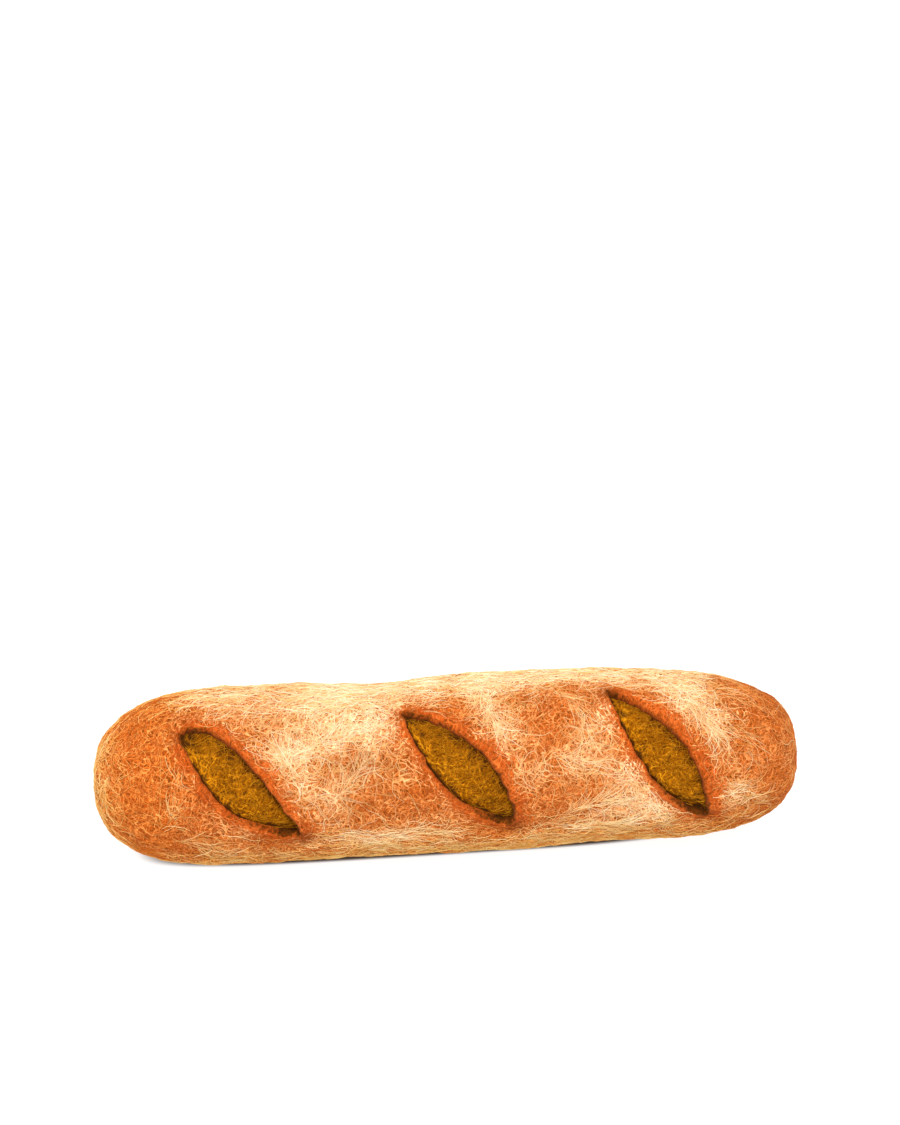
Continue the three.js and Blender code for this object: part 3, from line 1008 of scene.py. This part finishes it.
def tint_and_shade_wool(tree, colour):
    """The colour made yellower and deeper by the golden mark, which low down is painted shade, and
    brown by the brown mark, which on strands near a recess is partly painted shade.
    """
    # The golden mark: golden wool at the left end, and painted shade low down where the loaf turns
    # under.
    golden = times(tree, attribute_node(tree, "golden"), 0.85)
    colour = mix_node(tree, golden, colour, (1.0, 0.88, 0.5, 1.0), "MULTIPLY")
    brown_and_shade = times(tree, attribute_node(tree, "brown_and_shade"), 0.8)
    return mix_node(tree, brown_and_shade, colour, srgb(108, 48, 8))


def crust_material(web):
    """The felted ground: rust orange to apricot by the cream mark, under threads that are paler from
    layer to layer, with dark pits and rust lips. The recess's wall is brown wool darkened by painted
    shade, most under the upper edge, and a band of painted shade reaches out round it."""
    material, tree, shader = new_material("crust wool")
    cream = attribute_node(tree, "cream")
    edge = attribute_node(tree, "edge")
    threads = web_in(tree, web, 650.0, 0.11, range_node(tree, cream, 0.0, 0.9, 0.5, 0.72))
    ground = [(168, 78, 22), (156, 76, 25), (182, 106, 52)]
    colour = ramp_node(tree, cream, ground, (0.0, 0.4, 1.0))
    for title, bare, colours in (
        ("Low", 1.0, [(204, 112, 46), (196, 109, 49), (228, 164, 106)]),
        ("Middle", 0.8, [(226, 146, 80), (218, 148, 88), (245, 202, 152)]),
        ("High", 0.5, [(240, 176, 110), (232, 179, 122), (252, 222, 180)]),
    ):
        shown = times(tree, threads[title], range_node(tree, cream, 0.05, 0.4, bare, 1.0))
        colour = mix_node(tree, shown, colour, ramp_node(tree, cream, colours))
    lip = mix_node(tree, threads["Low"], srgb(172, 70, 16), srgb(194, 87, 26))
    lip = mix_node(tree, threads["Middle"], lip, srgb(209, 105, 40))
    lip = mix_node(tree, times(tree, threads["High"], 0.5), lip, srgb(226, 133, 64))
    lip = mix_node(tree, range_node(tree, edge, 2.0, 0.0, 0.0, 0.55), lip, srgb(142, 58, 10))
    fringe = noise_node(tree, object_place(tree), FRINGE_SCALE)["Fac"]
    ragged = math_node(tree, "SUBTRACT", attribute_node(tree, "lip"), 1.2)
    ragged = math_node(tree, "MULTIPLY_ADD", fringe, 2.4, ragged)
    colour = mix_node(tree, range_node(tree, ragged, 1.05, 0.7), colour, lip)
    colour = tint_and_shade_wool(tree, colour)
    pits = times(tree, threads["Pits"], range_node(tree, cream, 0.3, 0.9, 1.0, 0.8))
    colour = mix_node(tree, pits, colour, srgb(112, 54, 8))
    # The recess's wall: brown wool, darker near the upper edge and the tips as painted shade under the
    # lip.
    side = attribute_node(tree, "side")
    hollow = mix_node(tree, range_node(tree, side, 0.3, 0.8), srgb(150, 72, 14), srgb(66, 30, 4))
    colour = mix_node(tree, range_node(tree, edge, 0.2, -0.7), colour, hollow)
    # The band round the recess, darker at the upper edge and the tips: painted shade under the lips,
    # with dark olive wool.
    dark = math_node(tree, "MULTIPLY_ADD", fringe, 2.4, attribute_node(tree, "dark"))
    dark = range_node(tree, dark, 0.8, 1.9)
    colour = mix_node(tree, dark, colour, (0.26, 0.34, 0.1, 1.0), "MULTIPLY")
    finish_wool(tree, shader, colour)
    return material


def pad_material(web):
    """Mustard-brown wool with golden threads and dark pits, darker and patchy at its rim, which is
    painted shade in the recess with dark wool.
    """
    material, tree, shader = new_material("slash wool")
    threads = web_in(tree, web, 760.0, 0.12, 0.55)
    colour = mix_node(tree, threads["Low"], srgb(130, 74, 1), srgb(160, 94, 1))
    colour = mix_node(tree, threads["Middle"], colour, srgb(180, 112, 5))
    for title, wool in (("High", (204, 136, 18)), ("Pits", (72, 38, 2))):
        colour = mix_node(tree, times(tree, threads[title], 0.8), colour, srgb(*wool))
    # Painted shade along the pad's rim, broken up by patches of dark wool.
    patch = noise_node(tree, object_place(tree), PATCH_SCALE)["Fac"]
    ragged = math_node(tree, "SUBTRACT", attribute_node(tree, "rim"), 0.8)
    ragged = math_node(tree, "MULTIPLY_ADD", patch, 1.6, ragged)
    colour = mix_node(tree, range_node(tree, ragged, 0.15, 0.65), colour, srgb(66, 34, 4))
    finish_wool(tree, shader, colour, sheen=0.0)
    return material


def strand_material(name, colours, on_crust=True):
    """Wool of one kind: each strand has its own tone between the given colours. Strands on the crust
    get the same tints and painted shade as the ground under them."""
    material, tree, shader = new_material(name)
    colour = ramp_node(tree, attribute_node(tree, "tone"), colours)
    if on_crust:
        colour = tint_and_shade_wool(tree, colour)
    finish_wool(tree, shader, colour, roughness=0.85, sheen=0.1 if on_crust else 0.0)
    return material


# ---------------------------------------------------------------- camera, floor and light

CAMERA_TURN = np.radians(-3.8)
CAMERA_RISE = np.radians(42.0)
CAMERA_AWAY = 1.0
LENS = 93.5
# The loaf's middle shows below and left of the picture's middle by these shares of the distance.
BELOW_MIDDLE = 0.0698
LEFT_OF_MIDDLE = 0.0013


def make_camera():
    """The photo's camera: turned round the loaf's middle, raised, and aimed a little off it."""
    data = bpy.data.cameras.new("camera")
    data.lens = LENS
    data.sensor_width = 36.0
    camera = bpy.data.objects.new("camera", data)
    bpy.context.scene.collection.objects.link(camera)
    target = Vector((0.0, AXIS_Y * MM, AXIS_Z * MM))
    level = np.cos(CAMERA_RISE)
    back = Vector((np.sin(CAMERA_TURN) * level, -np.cos(CAMERA_TURN) * level, np.sin(CAMERA_RISE)))
    right = Vector((0, 0, 1)).cross(back).normalized()
    up = back.cross(right)
    camera.location = target + back * CAMERA_AWAY
    aim = target + (up * BELOW_MIDDLE + right * LEFT_OF_MIDDLE) * CAMERA_AWAY
    camera.rotation_euler = (aim - camera.location).to_track_quat("-Z", "Y").to_euler()
    bpy.context.scene.camera = camera


FLOOR_SIDE = 3.0
FLOOR_GLOW = (0.93, 0.93, 0.93, 1)
# The patch of floor that gets no glow, a painted contact shadow under the loaf: its middle, half length
# and half width in metres, and how far its line leans back for each metre along the loaf.
CONTACT_SHADOW_PATCH = {"x": -0.008, "along": 0.098, "across": 0.0146, "lean": 0.02}


def make_floor():
    """A floor that glows enough to show white, but not under the loaf: the glow fades out there in a
    painted contact shadow along where the loaf touches. The dark patch is where x^4 + y^4 is small, in
    its half lengths."""
    corners = [(-1, -1), (1, -1), (1, 1), (-1, 1)]
    mesh = bpy.data.meshes.new("floor")
    mesh.from_pydata([(FLOOR_SIDE * x, FLOOR_SIDE * y, 0) for x, y in corners], [], [(0, 1, 2, 3)])
    floor = bpy.data.objects.new("floor", mesh)
    bpy.context.scene.collection.objects.link(floor)
    material, tree, shader = new_material("floor")
    parts = axes_of(tree, object_place(tree))
    ahead = math_node(tree, "SUBTRACT", parts["X"], CONTACT_SHADOW_PATCH["x"])
    back = math_node(tree, "MULTIPLY_ADD", parts["X"], -CONTACT_SHADOW_PATCH["lean"], parts["Y"])
    powers = []
    for away, half in ((ahead, CONTACT_SHADOW_PATCH["along"]), (back, CONTACT_SHADOW_PATCH["across"])):
        share = math_node(tree, "ABSOLUTE", math_node(tree, "DIVIDE", away, half))
        powers.append(math_node(tree, "POWER", share, 4.0))
    # No glow under the loaf: a painted contact shadow.
    glow = range_node(tree, math_node(tree, "ADD", *powers), 0.7, 1.15)
    light = mix_node(tree, glow, (0, 0, 0, 1), FLOOR_GLOW)
    tree.links.new(light, shader.inputs["Emission Color"])
    shader.inputs["Base Color"].default_value = (0.2, 0.2, 0.2, 1)
    shader.inputs["Roughness"].default_value = 0.9
    shader.inputs["Emission Strength"].default_value = 1.0
    mesh.materials.append(material)


# Name, place and side in metres, watts and colour.
LIGHTS = [
    ("key", (0.25, -0.5, 1.05), 0.4, 12.8, (1, 1, 1)),
    ("fill", (-1.0, -0.4, 0.8), 1.0, 11.0, (1, 0.96, 0.89)),
]
LIGHTS_AIM = (0, 0, 0.03)
SKY_COLOUR = (1, 0.95, 0.87, 1)
SKY_STRENGTH = 0.62


def make_lights():
    """Two square lights that face the loaf, and an even warm sky."""
    for name, place, side, watts, colour in LIGHTS:
        data = bpy.data.lights.new(name, "AREA")
        data.size = side
        data.energy = watts
        data.color = colour
        light = bpy.data.objects.new(name, data)
        light.location = place
        toward = Vector(LIGHTS_AIM) - Vector(place)
        light.rotation_euler = toward.to_track_quat("-Z", "Y").to_euler()
        bpy.context.scene.collection.objects.link(light)
    world = bpy.data.worlds.new("studio")
    world.use_nodes = True
    world.node_tree.nodes["Background"].inputs["Color"].default_value = SKY_COLOUR
    world.node_tree.nodes["Background"].inputs["Strength"].default_value = SKY_STRENGTH
    bpy.context.scene.world = world
    bpy.context.scene.view_settings.view_transform = "Standard"


# ---------------------------------------------------------------- putting it together


def dress(piece, material, slot, *nodes):
    """Gives a piece its material; slot is not used. It rides on the loaf and stands in for the nodes
    named.
    """
    piece.data.materials.append(material)
    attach(piece, "root")
    if nodes:
        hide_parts(*nodes)


make_camera()
make_floor()
make_lights()

web = felt_web_group()
dress(make_loaf(), crust_material(web), "crust_wool", "loaf")
slash_wool = pad_material(web)
for number, slash in enumerate(SLASHES, 1):
    dress(make_pad(slash, number), slash_wool, "slash_wool", f"slash_pad_{number}")

for index, (name, count, colours, width, lift, keep_off, chance) in enumerate(CRUST_STRANDS):
    rng = np.random.default_rng(SEED + index)
    starts = scattered_starts(rng, count, chance)
    if name == "rust_strands":
        starts = join_parts([lip_starts(rng, LIP_STRANDS), starts])
        count += LIP_STRANDS
    elif name == "cream_strands":
        starts = join_parts([wisp_starts(rng), starts])
    piece = lay_strands(name, rng, starts, count, width, lift, keep_off)
    dress(piece, strand_material(name.replace("_", " "), colours), "crust_wool")

mustard = [(104, 56, 2), (168, 100, 4), (204, 140, 28)]
dress(lay_pad_strands("mustard_strands", SEED + 9, PAD_STRANDS),
      strand_material("mustard strands", mustard, on_crust=False), "slash_wool")
